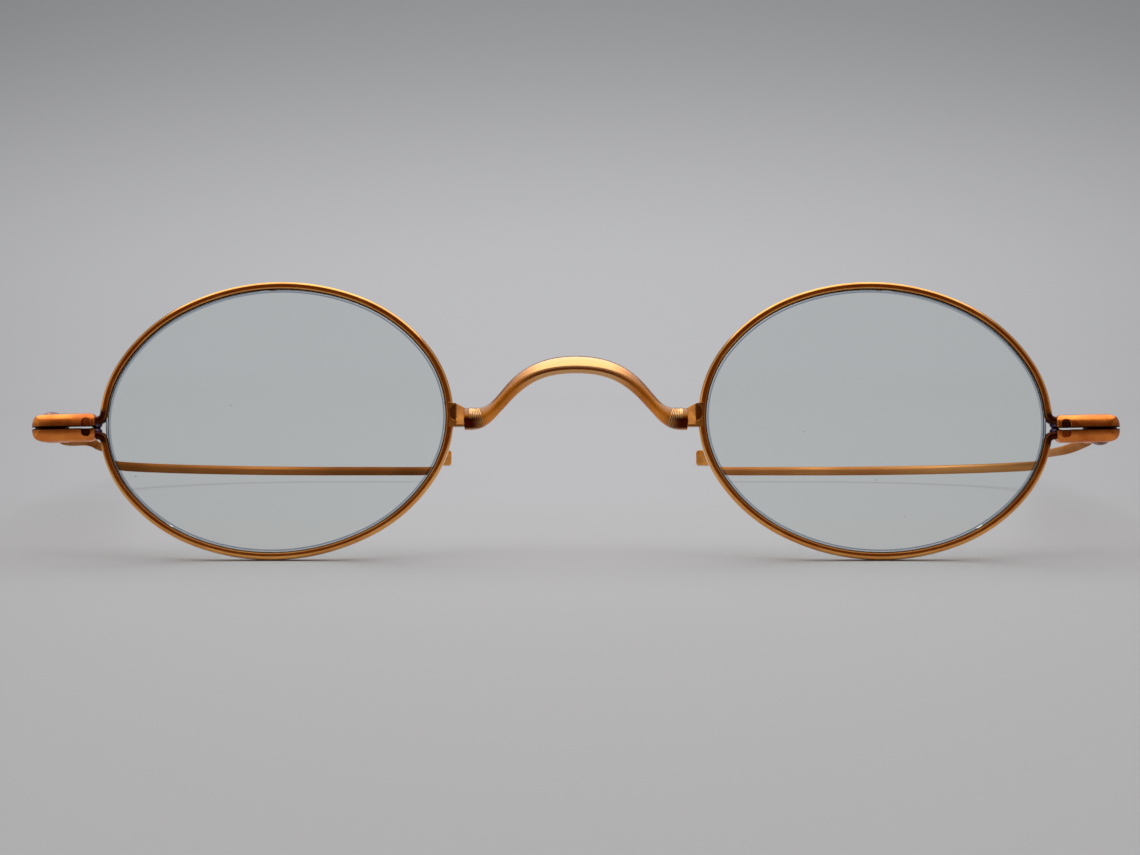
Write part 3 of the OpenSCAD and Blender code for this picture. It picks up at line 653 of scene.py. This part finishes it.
def turned_rings_tree():
    """Thin ridges round a wire, evenly spaced along an edge path at its middle."""
    tree = bpy.data.node_groups.new("Turned rings", "GeometryNodeTree")
    tree.interface.new_socket("Geometry", in_out="INPUT", socket_type="NodeSocketGeometry")
    tree.interface.new_socket("Rings", in_out="INPUT", socket_type="NodeSocketInt")
    for name in ("First radius", "Last radius", "Ridge radius"):
        tree.interface.new_socket(name, in_out="INPUT", socket_type="NodeSocketFloat")
    tree.interface.new_socket("Material", in_out="INPUT", socket_type="NodeSocketMaterial")
    tree.interface.new_socket("Geometry", in_out="OUTPUT", socket_type="NodeSocketGeometry")
    given = add(tree, "NodeGroupInput")
    path = add(tree, "GeometryNodeMeshToCurve", {"Mesh": given.outputs["Geometry"]})
    place = add(tree, "GeometryNodeSplineParameter")
    radius = add(
        tree, "ShaderNodeMapRange",
        {"Value": place.outputs["Factor"], "To Min": given.outputs["First radius"],
         "To Max": given.outputs["Last radius"]})
    kept = add(
        tree, "GeometryNodeCaptureAttribute", {"Geometry": path.outputs["Curve"]}, domain="POINT")
    kept.capture_items.new("FLOAT", "Radius")
    tree.links.new(radius.outputs["Result"], kept.inputs["Radius"])
    spots = add(
        tree, "GeometryNodeCurveToPoints",
        {"Curve": kept.outputs["Geometry"], "Count": given.outputs["Rings"]})
    hoop = add(tree, "GeometryNodeCurvePrimitiveCircle", {"Resolution": 56, "Radius": 1.0})
    bead = add(
        tree, "GeometryNodeCurvePrimitiveCircle",
        {"Resolution": 8, "Radius": given.outputs["Ridge radius"]})
    ring = add(
        tree, "GeometryNodeCurveToMesh",
        {"Curve": hoop.outputs["Curve"], "Profile Curve": bead.outputs["Curve"]})
    row = add(
        tree, "GeometryNodeInstanceOnPoints",
        {"Points": spots.outputs["Points"], "Instance": ring.outputs["Mesh"],
         "Rotation": spots.outputs["Rotation"], "Scale": kept.outputs["Radius"]})
    plain = add(tree, "GeometryNodeRealizeInstances", {"Geometry": row.outputs["Instances"]})
    coloured = add(
        tree, "GeometryNodeSetMaterial",
        {"Geometry": plain.outputs["Geometry"], "Material": given.outputs["Material"]})
    add(tree, "NodeGroupOutput", {"Geometry": coloured.outputs["Geometry"]})
    return tree


ring_count = 7
ring_ridge_r = 0.06
ring_reach = 0.11


def ring_path(steps=24):
    """The middle of the wire over the turned stretch, from the neck into the limb."""
    stops = [limb_at(ring_reach * i / steps) for i in range(steps + 1)]
    path = bpy.data.meshes.new("ring path")
    path.from_pydata(stops, [(i, i + 1) for i in range(len(stops) - 1)], [])
    return path


# The ridges of the turned rings catch the cloth, so they stay polished, and their gold is paler than the
# wire's: a painted glint.
ring_gold = gold_filled(
    "Rolled_gold_turned_rings", "#F6C890", "#E0A458", patch_mm=1.0, shade_and_dirt=neck_underside_shade,
    shade_and_dirt_colour=neck_shade_colour)
ring_mesh = shaped(
    "neck rings", ring_path(), turned_rings_tree(),
    {"Rings": ring_count, "First radius": neck_d / 2,
     "Last radius": limb_size(ring_reach, neck_d, limb_t, crest_t) / 2,
     "Ridge radius": ring_ridge_r, "Material": ring_gold})
finish_mesh(ring_mesh)
fit("neck_rings_right", moved(ring_mesh), ring_gold, None, "front")
fit("neck_rings_left", moved(ring_mesh, mirrored), ring_gold, None, "front")

# Bridge feet
# A small stamped foot at each end of the bridge, brazed to the rim. It flares from the neck to
# the wire, and its lips clasp the wire in front and behind. The front is scooped beside the rim.
scoop_in = 13.03
scoop_out = 13.78
foot_front = -1.2


def keep_largest(mesh):
    """Drops every loose flake that a remesh leaves beside the one closed skin."""
    bm = bmesh.new()
    bm.from_mesh(mesh)
    islands = []
    unseen = set(bm.verts)
    while unseen:
        reached = [unseen.pop()]
        island = set(reached)
        while reached:
            for edge in reached.pop().link_edges:
                fresh = [vert for vert in edge.verts if vert not in island]
                island.update(fresh)
                reached.extend(fresh)
        unseen -= island
        islands.append(island)
    largest = max(islands, key=len)
    flakes = [vert for vert in bm.verts if vert not in largest]
    bmesh.ops.delete(bm, geom=flakes, context="VERTS")
    bm.to_mesh(mesh)
    bm.free()


def rubbed_skin(shell, grain, rubs):
    """Remakes a shell as an even skin of small faces and rubs it, both in mm."""
    blank = bpy.data.objects.new("blank", shell)
    bpy.context.scene.collection.objects.link(blank)
    skin = blank.modifiers.new("skin", "REMESH")
    skin.mode = "VOXEL"
    skin.voxel_size = grain
    rub = blank.modifiers.new("rub", "SMOOTH")
    rub.factor = 0.5
    rub.iterations = rubs
    graph = bpy.context.evaluated_depsgraph_get()
    mesh = bpy.data.meshes.new_from_object(blank.evaluated_get(graph))
    bpy.data.objects.remove(blank)
    return mesh


def worn_copy(node, grain=0.05, rubs=6):
    """A CAD node's own form in its own place, with its edges rubbed round."""
    shell = frame["nodes"][node].data.copy()
    shell.transform(Matrix.Scale(1 / MM, 4))
    bm = bmesh.new()
    bm.from_mesh(shell)
    bmesh.ops.remove_doubles(bm, verts=bm.verts, dist=0.0005)
    bm.to_mesh(shell)
    bm.free()
    mesh = rubbed_skin(shell, grain, rubs)
    keep_largest(mesh)
    mesh.transform(Matrix.Scale(MM, 4))
    mesh.shade_smooth()
    return mesh


# Painted shade: the scoop beside the rim is darkened as a recess.
def scoop_shade(tree, where):
    offset = add(
        tree, "ShaderNodeVectorMath", {0: where.outputs["Object"], 1: tuple(to_row.translation)},
        operation="SUBTRACT")
    depth = add(
        tree, "ShaderNodeVectorMath", {0: offset, 1: tuple(backward)},
        operation="DOT_PRODUCT").outputs["Value"]
    out = off_centre(tree, where)
    return zone(
        tree, (out, scoop_in - 0.08, scoop_in + 0.07), (out, scoop_out + 0.02, scoop_out - 0.06),
        (depth, foot_front + 0.08, foot_front + 0.22))


# Stamped rolled gold that the die left matt, darkened brown in the scoop: painted shade in the recess
foot_gold = gold_filled(
    "Rolled_gold_foot_stamping", "#B47430", "#925A24", rough=0.36, patch_mm=2.0, film=0.2,
    shade_and_dirt=scoop_shade, shade_and_dirt_colour="#8E5626")
for side in ("left", "right"):
    node = f"bridge_foot_{side}"
    fit(f"foot_stamping_{side}", worn_copy(node, 0.04, 3), foot_gold, node, "front")

# End pieces
# Each end piece is split in two halves, stamped to one rounded bar with a knuckle at its back.
# The rim's two ends are brazed in beside the hollow, and the screw draws the halves together.
bar_front = -2.55
hollow_x = -4.2
hollow_half_w = 0.55
hollow_half_h = 1.05
half_slit = 0.1
block_rubs = 24
outer_rubs = 120


# Painted shade: the slit is painted near-black, the faces on both sides of it are darkened, and
# the hollow is darkened too. The hollow is painted darkest in the right upper half and the left
# lower one, since each end piece is the other one turned over.
def slit_and_hollow_shade(tree, where):
    out, back, up = from_hinge(tree, where)
    height = add(tree, "ShaderNodeMath", {0: up}, operation="ABSOLUTE")
    faces = add(
        tree, "ShaderNodeMath", {0: zone(tree, (height, 0.8, 0.3)), 1: 0.45}, operation="MULTIPLY")
    slit = add(
        tree, "ShaderNodeMath", {0: zone(tree, (height, 0.3, 0.14)), 1: faces}, operation="MAXIMUM")
    aside = add(tree, "ShaderNodeMath", {0: out, 1: -hollow_x * MM}, operation="ADD")
    aside = add(tree, "ShaderNodeMath", {0: aside}, operation="ABSOLUTE")
    hollow = zone(
        tree, (aside, hollow_half_w + 0.1, hollow_half_w - 0.1),
        (back, bar_front + 0.1, bar_front + 0.9), (height, hollow_half_h + 0.1, hollow_half_h - 0.1))
    as_right = add(tree, "ShaderNodeMath", {0: up, 1: side_of(tree, where)}, operation="MULTIPLY")
    darker_half = add(
        tree, "ShaderNodeMapRange",
        {"Value": zone(tree, (as_right, -0.1, 0.1)), "To Min": 0.2, "To Max": 0.9})
    hollow = add(tree, "ShaderNodeMath", {0: hollow, 1: darker_half}, operation="MULTIPLY")
    return add(tree, "ShaderNodeMath", {0: slit, 1: hollow}, operation="MAXIMUM")


def worn_half(side, half, grain=0.04):
    """A half's own form, rubbed round as one block with its mirror image across the slit and cut
    apart again, so that its slit stays crisp. The outer end is rubbed most."""
    up = Vector(hinge["axis"])
    away = backward.cross(up) if side == "right" else up.cross(backward)
    frame_at_hinge = Matrix((away, backward, up)).transposed().to_4x4()
    frame_at_hinge.translation = Vector(joints[f"temple_{side}_arm"]["pos_m"]) / MM
    sign = 1 if half == "upper" else -1
    shell = frame["nodes"][f"endpiece_{half}_{side}"].data.copy()
    shell.transform(frame_at_hinge.inverted() @ Matrix.Scale(1 / MM, 4))
    overlap = 0.1
    drawn_in = Matrix.Translation((0, 0, -sign * (half_slit + overlap)))
    bm = bmesh.new()
    bm.from_mesh(shell)
    bmesh.ops.transform(bm, matrix=drawn_in, verts=bm.verts)
    twin = bmesh.ops.duplicate(bm, geom=bm.verts[:] + bm.edges[:] + bm.faces[:])["geom"]
    across = [part for part in twin if isinstance(part, bmesh.types.BMVert)]
    bmesh.ops.scale(bm, vec=(1, 1, -1), verts=across)
    bmesh.ops.recalc_face_normals(bm, faces=bm.faces)
    bm.to_mesh(shell)
    bm.free()
    mesh = rubbed_skin(shell, grain, block_rubs)
    blank = bpy.data.objects.new("blank", mesh)
    bpy.context.scene.collection.objects.link(blank)
    outer = blank.vertex_groups.new(name="outer end")
    for vertex in mesh.vertices:
        share = min(vertex.co.x + 0.4, -vertex.co.y - 0.6, 1.0)
        if share > 0:
            outer.add([vertex.index], share, "REPLACE")
    rub = blank.modifiers.new("rub", "SMOOTH")
    rub.vertex_group = "outer end"
    rub.factor = 0.5
    rub.iterations = outer_rubs
    graph = bpy.context.evaluated_depsgraph_get()
    mesh = bpy.data.meshes.new_from_object(blank.evaluated_get(graph))
    bpy.data.objects.remove(blank)
    bm = bmesh.new()
    bm.from_mesh(mesh)
    parted = bmesh.ops.bisect_plane(
        bm, geom=bm.verts[:] + bm.edges[:] + bm.faces[:], dist=1e-5,
        plane_co=(0, 0, -sign * overlap), plane_no=(0, 0, -sign), clear_outer=True)
    rim = [part for part in parted["geom_cut"] if isinstance(part, bmesh.types.BMEdge)]
    bmesh.ops.triangle_fill(bm, edges=rim, use_beauty=True, normal=(0, 0, -sign))
    bm.to_mesh(mesh)
    bm.free()
    mesh.transform(Matrix.Scale(MM, 4) @ frame_at_hinge @ drawn_in.inverted())
    return finish_mesh(mesh, 40)


# Stamped and tumbled rolled gold, coppery from wear, with broad soft highlights
bar_gold = gold_filled(
    "Rolled_gold_end_piece", "#F89440", "#D06C26", rough=0.33, patch_mm=3.0, haze_mm=2.5, film=0.2,
    dents=0.15, shade_and_dirt=slit_and_hollow_shade, shade_and_dirt_colour="#2A0C04")
for side in ("left", "right"):
    for half in ("upper", "lower"):
        node = f"endpiece_{half}_{side}"
        fit(f"end_bar_{half}_{side}", worn_half(side, half), bar_gold, node, "front")

# Hard solder ran in between the rim's two ends where they meet the bar. Its beads are coloured dark purple:
# painted shade between the ends and the bar.
bead_size = (0.6, 0.7, 0.5)
bead_rise = 0.4


def solder_bead(rise):
    """One bead beside the right end piece, in mm on the upright front."""
    mesh = bpy.data.meshes.new("solder bead")
    bm = bmesh.new()
    bmesh.ops.create_uvsphere(bm, u_segments=32, v_segments=18, radius=1.0)
    bm.to_mesh(mesh)
    bm.free()
    middle = Vector((hinge_x - bar_l, 0.0, rise - hinge_drop))
    mesh.transform(Matrix.Translation(middle) @ Matrix.Diagonal((*bead_size, 1.0)))
    return finish_mesh(mesh)


solder = gold_filled(
    "Hard_solder_painted_shade", "#5A4A66", "#3A2A38", rough=0.3, patch_mm=0.6, film=0.0)
for part, rise in (("upper", bead_rise), ("lower", -bead_rise)):
    bead = solder_bead(rise)
    fit(f"solder_{part}_right", moved(bead), solder, None, "front")
    fit(f"solder_{part}_left", moved(bead, mirrored), solder, None, "front")

# Hinge screws
# A turned screw with a low slotted head closes each end piece and is the temple's pivot. It is
# steel, gold-washed once and now rubbed through to a purplish tarnish.
screw_steel = gold_filled(
    "Tarnished_screw_steel", "#A98578", "#5F4650", rough=0.28, patch_mm=0.8, film=0.0)
for side in ("left", "right"):
    node = f"hinge_screw_{side}"
    fit(f"screw_{side}", worn_copy(node, 0.03, 2), screw_steel, node, "front")

# Temple lugs
# The lug is the temple's half of the hinge: an eye on the screw between the two halves of the
# end piece, a short tongue, and a socket that the wire is brazed into.
def eye_shade(tree, where):
    out, back, _ = from_hinge(tree, where)
    aside = add(tree, "ShaderNodeMath", {0: out}, operation="ABSOLUTE")
    return zone(tree, (back, 2.3, 1.8), (aside, 2.6, 2.2))


# Rolled gold, satin on the socket and painted black round the eye: painted shade where the eye sits between
# the end piece's halves
lug_gold = gold_filled(
    "Rolled_gold_lug", "#E39A60", "#B5662F", rough=0.22, patch_mm=2.0, shade_and_dirt=eye_shade,
    shade_and_dirt_colour="#1E0A04")
for side in ("left", "right"):
    node = f"temple_lug_{side}"
    fit(f"lug_{side}", worn_copy(node, 0.04, 4), lug_gold, node, f"temple_{side}_arm")

# Temples
# A drawn gold-filled wire, tapered towards the tip. It runs back straight, sweeps inward, then
# bends round behind the ear, and bows a little so that the folded temples lie over each other.
splay = math.radians(8.7)
straight_l = 81.0
sweep_l = 36.0
sweep_turn = math.radians(22.7)
bend_l = 34.0
tail_l = 22.2
paddle_l = 5.2
bend_turn = math.radians(90) + splay - sweep_turn
wire_from = 2.5
wire_to = straight_l + sweep_l + bend_l + tail_l - paddle_l
wire_d = 1.3
wire_tip_d = 1.05
bow_from = 4.5
bow_to = straight_l + sweep_l + bend_l / 4
wire_bow = 0.65
drop_run = 14.0
drop_at = bow_from + drop_run
wire_drop = 0.7


def wire_path(side, steps=420):
    """Points along the right temple's middle, from its plan of straight and curved lengths, or
    along the left one's before it is mirrored, with side -1. Both drop a little behind the lug."""
    plan = [(straight_l, 0.0), (sweep_l, sweep_turn), (bend_l, bend_turn), (tail_l, 0.0)]

    def at(s):
        x, y, heading = hinge_x, hinge_back, splay
        for length, turn in plan:
            run = min(s, length)
            end = heading - turn / length * run
            if turn:
                r = length / turn
                x += r * (math.cos(end) - math.cos(heading))
                y += r * (math.sin(heading) - math.sin(end))
            else:
                x += run * math.sin(heading)
                y += run * math.cos(heading)
            heading, s = end, s - run
            if s <= 0:
                break
        return x, y

    points = []
    for i in range(steps + 1):
        s = wire_from + (wire_to - wire_from) * i / steps
        x, y = at(s)
        bow = drop = 0.0
        if bow_from < s < bow_to:
            bow = wire_bow * (1 - math.cos(2 * math.pi * (s - bow_from) / (bow_to - bow_from))) / 2
        if bow_from < s < drop_at:
            drop = wire_drop * (1 - math.cos(math.pi * (s - bow_from) / (drop_at - bow_from))) / 2
        elif drop_at <= s < straight_l:
            drop = wire_drop * (1 + math.cos(math.pi * (s - drop_at) / (straight_l - drop_at))) / 2
        points.append(Vector((x, y, -hinge_drop - side * bow - drop)))
    return points


def tapered_wire_tree():
    """A round wire along an edge path, drawn thinner from its first point to its last."""
    tree = bpy.data.node_groups.new("Tapered wire", "GeometryNodeTree")
    tree.interface.new_socket("Geometry", in_out="INPUT", socket_type="NodeSocketGeometry")
    for name in ("First diameter", "Last diameter"):
        tree.interface.new_socket(name, in_out="INPUT", socket_type="NodeSocketFloat")
    tree.interface.new_socket("Sides", in_out="INPUT", socket_type="NodeSocketInt")
    tree.interface.new_socket("Material", in_out="INPUT", socket_type="NodeSocketMaterial")
    tree.interface.new_socket("Geometry", in_out="OUTPUT", socket_type="NodeSocketGeometry")
    given = add(tree, "NodeGroupInput")
    path = add(tree, "GeometryNodeMeshToCurve", {"Mesh": given.outputs["Geometry"]})
    place = add(tree, "GeometryNodeSplineParameter")
    width = add(
        tree, "ShaderNodeMapRange",
        {"Value": place.outputs["Factor"], "To Min": given.outputs["First diameter"],
         "To Max": given.outputs["Last diameter"]})
    section = add(
        tree, "GeometryNodeCurvePrimitiveCircle", {"Resolution": given.outputs["Sides"], "Radius": 0.5})
    wire = add(
        tree, "GeometryNodeCurveToMesh",
        {"Curve": path.outputs["Curve"], "Profile Curve": section.outputs["Curve"],
         "Scale": width.outputs["Result"], "Fill Caps": True})
    plain = add(tree, "GeometryNodeRealizeInstances", {"Geometry": wire.outputs["Mesh"]})
    coloured = add(
        tree, "GeometryNodeSetMaterial",
        {"Geometry": plain.outputs["Geometry"], "Material": given.outputs["Material"]})
    add(tree, "NodeGroupOutput", {"Geometry": coloured.outputs["Geometry"]})
    return tree


# Drawn rolled gold gone dull with wear, which gives a broad soft sheen. The left one is a darker, browner
# copy: painted shade.
temple_gold = {
    "right": gold_filled(
        "Drawn_gold_temple_wire", "#CE9258", "#B06C38", rough=0.52, patch_mm=26.0, haze_mm=26.0, film=0.0,
        dents=0.0, edge="#DCC0AE"),
    "left": gold_filled(
        "Shaded_gold_temple_wire", "#B4743E", "#885022", rough=0.54, patch_mm=26.0, haze_mm=26.0, film=0.0,
        dents=0.0, edge="#C8A890"),
}
wire_tree = tapered_wire_tree()
for side, sign, turn in (("right", 1, Matrix.Identity(4)), ("left", -1, mirrored)):
    node = f"temple_{side}"
    path = bpy.data.meshes.new("temple path")
    points = wire_path(sign)
    path.from_pydata(points, [(i, i + 1) for i in range(len(points) - 1)], [])
    wire = shaped(
        "temple wire", path, wire_tree,
        {"First diameter": wire_d, "Last diameter": wire_tip_d, "Sides": 24, "Material": temple_gold[side]})
    finish_mesh(wire)
    fit(f"temple_wire_{side}", moved(wire, turn), temple_gold[side], node, f"{node}_arm")

# Temple tips
# The wire's end is sleeved by a short ferrule and flattened to a small smooth paddle, which lies
# against the head. Its rolled gold is worn to a satin by hair and skin.
tip_gold = gold_filled("Rolled_gold_tip", "#F8B45C", "#DC923E", rough=0.48, patch_mm=2.5)
for side in ("left", "right"):
    node = f"temple_tip_{side}"
    fit(f"tip_{side}", worn_copy(node, 0.05, 8), tip_gold, node, f"temple_{side}_arm")


# Stage
# A pale sweep of matt paper: flat under the glasses, and curved up behind them. It is painted
# darker up the wall and a little towards the sides: painted shade, as in a small light tent.
def sweep_sheet():
    half_w, front, bend_y, bend_r, wall_top = 2.2, -1.6, 0.75, 0.35, 1.3
    line = [(front, 0.0), (-0.4, 0.0), (0.0, 0.0), (0.4, 0.0), (bend_y, 0.0)]
    steps = 24
    for i in range(1, steps + 1):
        a = math.pi / 2 * i / steps
        line.append((bend_y + bend_r * math.sin(a), bend_r * (1 - math.cos(a))))
    line.append((bend_y + bend_r, wall_top))
    columns = 8
    xs = [-half_w + 2 * half_w * i / columns for i in range(columns + 1)]
    points = [(x, y, z) for y, z in line for x in xs]
    wide = len(xs)
    faces = [
        (r * wide + c, r * wide + c + 1, (r + 1) * wide + c + 1, (r + 1) * wide + c)
        for r in range(len(line) - 1)
        for c in range(columns)
    ]
    mesh = bpy.data.meshes.new("sweep")
    mesh.from_pydata(points, [], faces)
    mesh.shade_smooth()
    return mesh


# Matt grey-white paper. Round the glasses it takes the lamp's light and their shadows. Further off
# it glows with its own colour, a painted light that the eye and the metal see, so that its edge
# never shows. Beyond the near edge, metal and glass see it painted the dark colour of the room where the
# viewer stands: a painted reflection.
dark_room = "#5E3A1E"


def sweep_paper():
    material = bpy.data.materials.new("Matt_backdrop_paper")
    material.use_nodes = True
    tree = material.node_tree
    where = add(tree, "ShaderNodeTexCoord")
    x, y, z = add(tree, "ShaderNodeSeparateXYZ", {"Vector": where.outputs["Object"]}).outputs
    # Painted shade: the paper darkens towards the sides, less so further back.
    behind = add(tree, "ShaderNodeClamp", {"Value": y})
    pool = add(tree, "ShaderNodeMath", {0: behind, 1: 0.25, 2: 0.085}, operation="MULTIPLY_ADD")
    aside = add(tree, "ShaderNodeMath", {0: x}, operation="ABSOLUTE")
    aside = add(tree, "ShaderNodeMath", {0: aside, 1: pool}, operation="DIVIDE")
    aside = add(tree, "ShaderNodeMath", {0: aside, 1: 2.0}, operation="POWER")
    shade = add(tree, "ShaderNodeMath", {0: aside, 1: 0.15}, operation="MULTIPLY")
    shade = add(tree, "ShaderNodeMath", {0: shade, 1: 0.3}, operation="MINIMUM")
    path = add(tree, "ShaderNodeLightPath")
    # Painted reflection: except to the camera, the paper past the near edge has the dark room's colour.
    tent_side = add(
        tree, "ShaderNodeMath", {0: path.outputs["Is Camera Ray"], 1: zone(tree, (y, -320, -210))},
        operation="MAXIMUM")
    paper = {}
    for use, share, first, last in (
            ("lit", zone(tree, (y, -200, 20)), "#B1B2B6", "#B5B6BA"),
            ("shown", zone(tree, (z, 28, 250)), "#BDBDC0", "#8F9092")):
        colour = add(
            tree, "ShaderNodeMix", {"Factor": share, "A_Color": linear(first), "B_Color": linear(last)},
            data_type="RGBA").outputs[2]
        colour = add(
            tree, "ShaderNodeMix", {"Factor": shade, "A_Color": colour, "B_Color": linear("#000000")},
            data_type="RGBA").outputs[2]
        paper[use] = add(
            tree, "ShaderNodeMix", {"Factor": tent_side, "A_Color": linear(dark_room), "B_Color": colour},
            data_type="RGBA").outputs[2]
    matt = add(tree, "ShaderNodeBsdfDiffuse", {"Color": paper["lit"]})
    # The far paper glows with its own colour: painted light.
    plain = add(tree, "ShaderNodeEmission", {"Color": paper["shown"]})
    reach = add(
        tree, "ShaderNodeVectorMath", {0: where.outputs["Object"]}, operation="LENGTH").outputs["Value"]
    half_shown = add(
        tree, "ShaderNodeMath", {0: zone(tree, (y, -30, 30)), 1: 0.6}, operation="MULTIPLY")
    far = add(
        tree, "ShaderNodeMath", {0: zone(tree, (reach, 200, 380)), 1: half_shown}, operation="MAXIMUM")
    surface = add(tree, "ShaderNodeMixShader", {0: far, 1: matt, 2: plain})
    tree.nodes.remove(tree.nodes["Principled BSDF"])
    fill(tree, tree.nodes["Material Output"], {"Surface": surface})
    return material


sheet = sweep_sheet()
sheet.materials.append(sweep_paper())
backdrop = bpy.data.objects.new("backdrop_sweep", sheet)
bpy.context.scene.collection.objects.link(backdrop)


# Light
# One soft light overhead inside pale tent walls. The tent's opening, where the viewer stands, is
# dark, and the metal mirrors it.
def soft_light():
    lamp = bpy.data.lights.new("overhead softbox", "AREA")
    lamp.shape = "RECTANGLE"
    lamp.size = 0.8
    lamp.size_y = 0.95
    lamp.energy = 3.88
    lamp.color = linear("#FFFDFA")[:3]
    light = bpy.data.objects.new("overhead softbox", lamp)
    light.location = (0.0, 0.125, 0.5)
    bpy.context.scene.collection.objects.link(light)


def room():
    """The tent's walls, pale on the left and grey overhead, its dark opening in front, and the grey
    that the camera sees past the paper."""
    world = bpy.data.worlds.new("light tent")
    bpy.context.scene.world = world
    world.use_nodes = True
    tree = world.node_tree
    where = add(tree, "ShaderNodeTexCoord")
    x, y, z = add(tree, "ShaderNodeSeparateXYZ", {"Vector": where.outputs["Generated"]}).outputs
    path = add(tree, "ShaderNodeLightPath")
    colour = linear("#9E9A95")
    for share, part in (
            (zone(tree, (x, 0.4, -0.6), unit=1), "#D6D2CD"),
            (zone(tree, (z, 0.2, 0.6), unit=1), "#AAA7A2"),
            (zone(tree, (y, -0.6, -0.88), unit=1), dark_room),
            (path.outputs["Is Camera Ray"], "#A9AAAD")):
        colour = add(
            tree, "ShaderNodeMix", {"Factor": share, "A_Color": colour, "B_Color": linear(part)},
            data_type="RGBA").outputs[2]
    fill(tree, tree.nodes["Background"], {"Color": colour})


soft_light()
room()


# Camera
# A 70 mm lens on a full frame, about 240 mm in front of the lenses and a little above them.
def camera():
    data = bpy.data.cameras.new("camera")
    data.lens = 69.7
    data.sensor_width = 36.0
    data.clip_start = 0.01
    eye = bpy.data.objects.new("camera", data)
    eye.location = (-0.00065, -0.3071, 0.0282)
    eye.rotation_euler = (math.radians(90 - 3.3), 0, 0)
    bpy.context.scene.collection.objects.link(eye)
    bpy.context.scene.camera = eye


camera()
bpy.context.scene.view_settings.view_transform = "Standard"
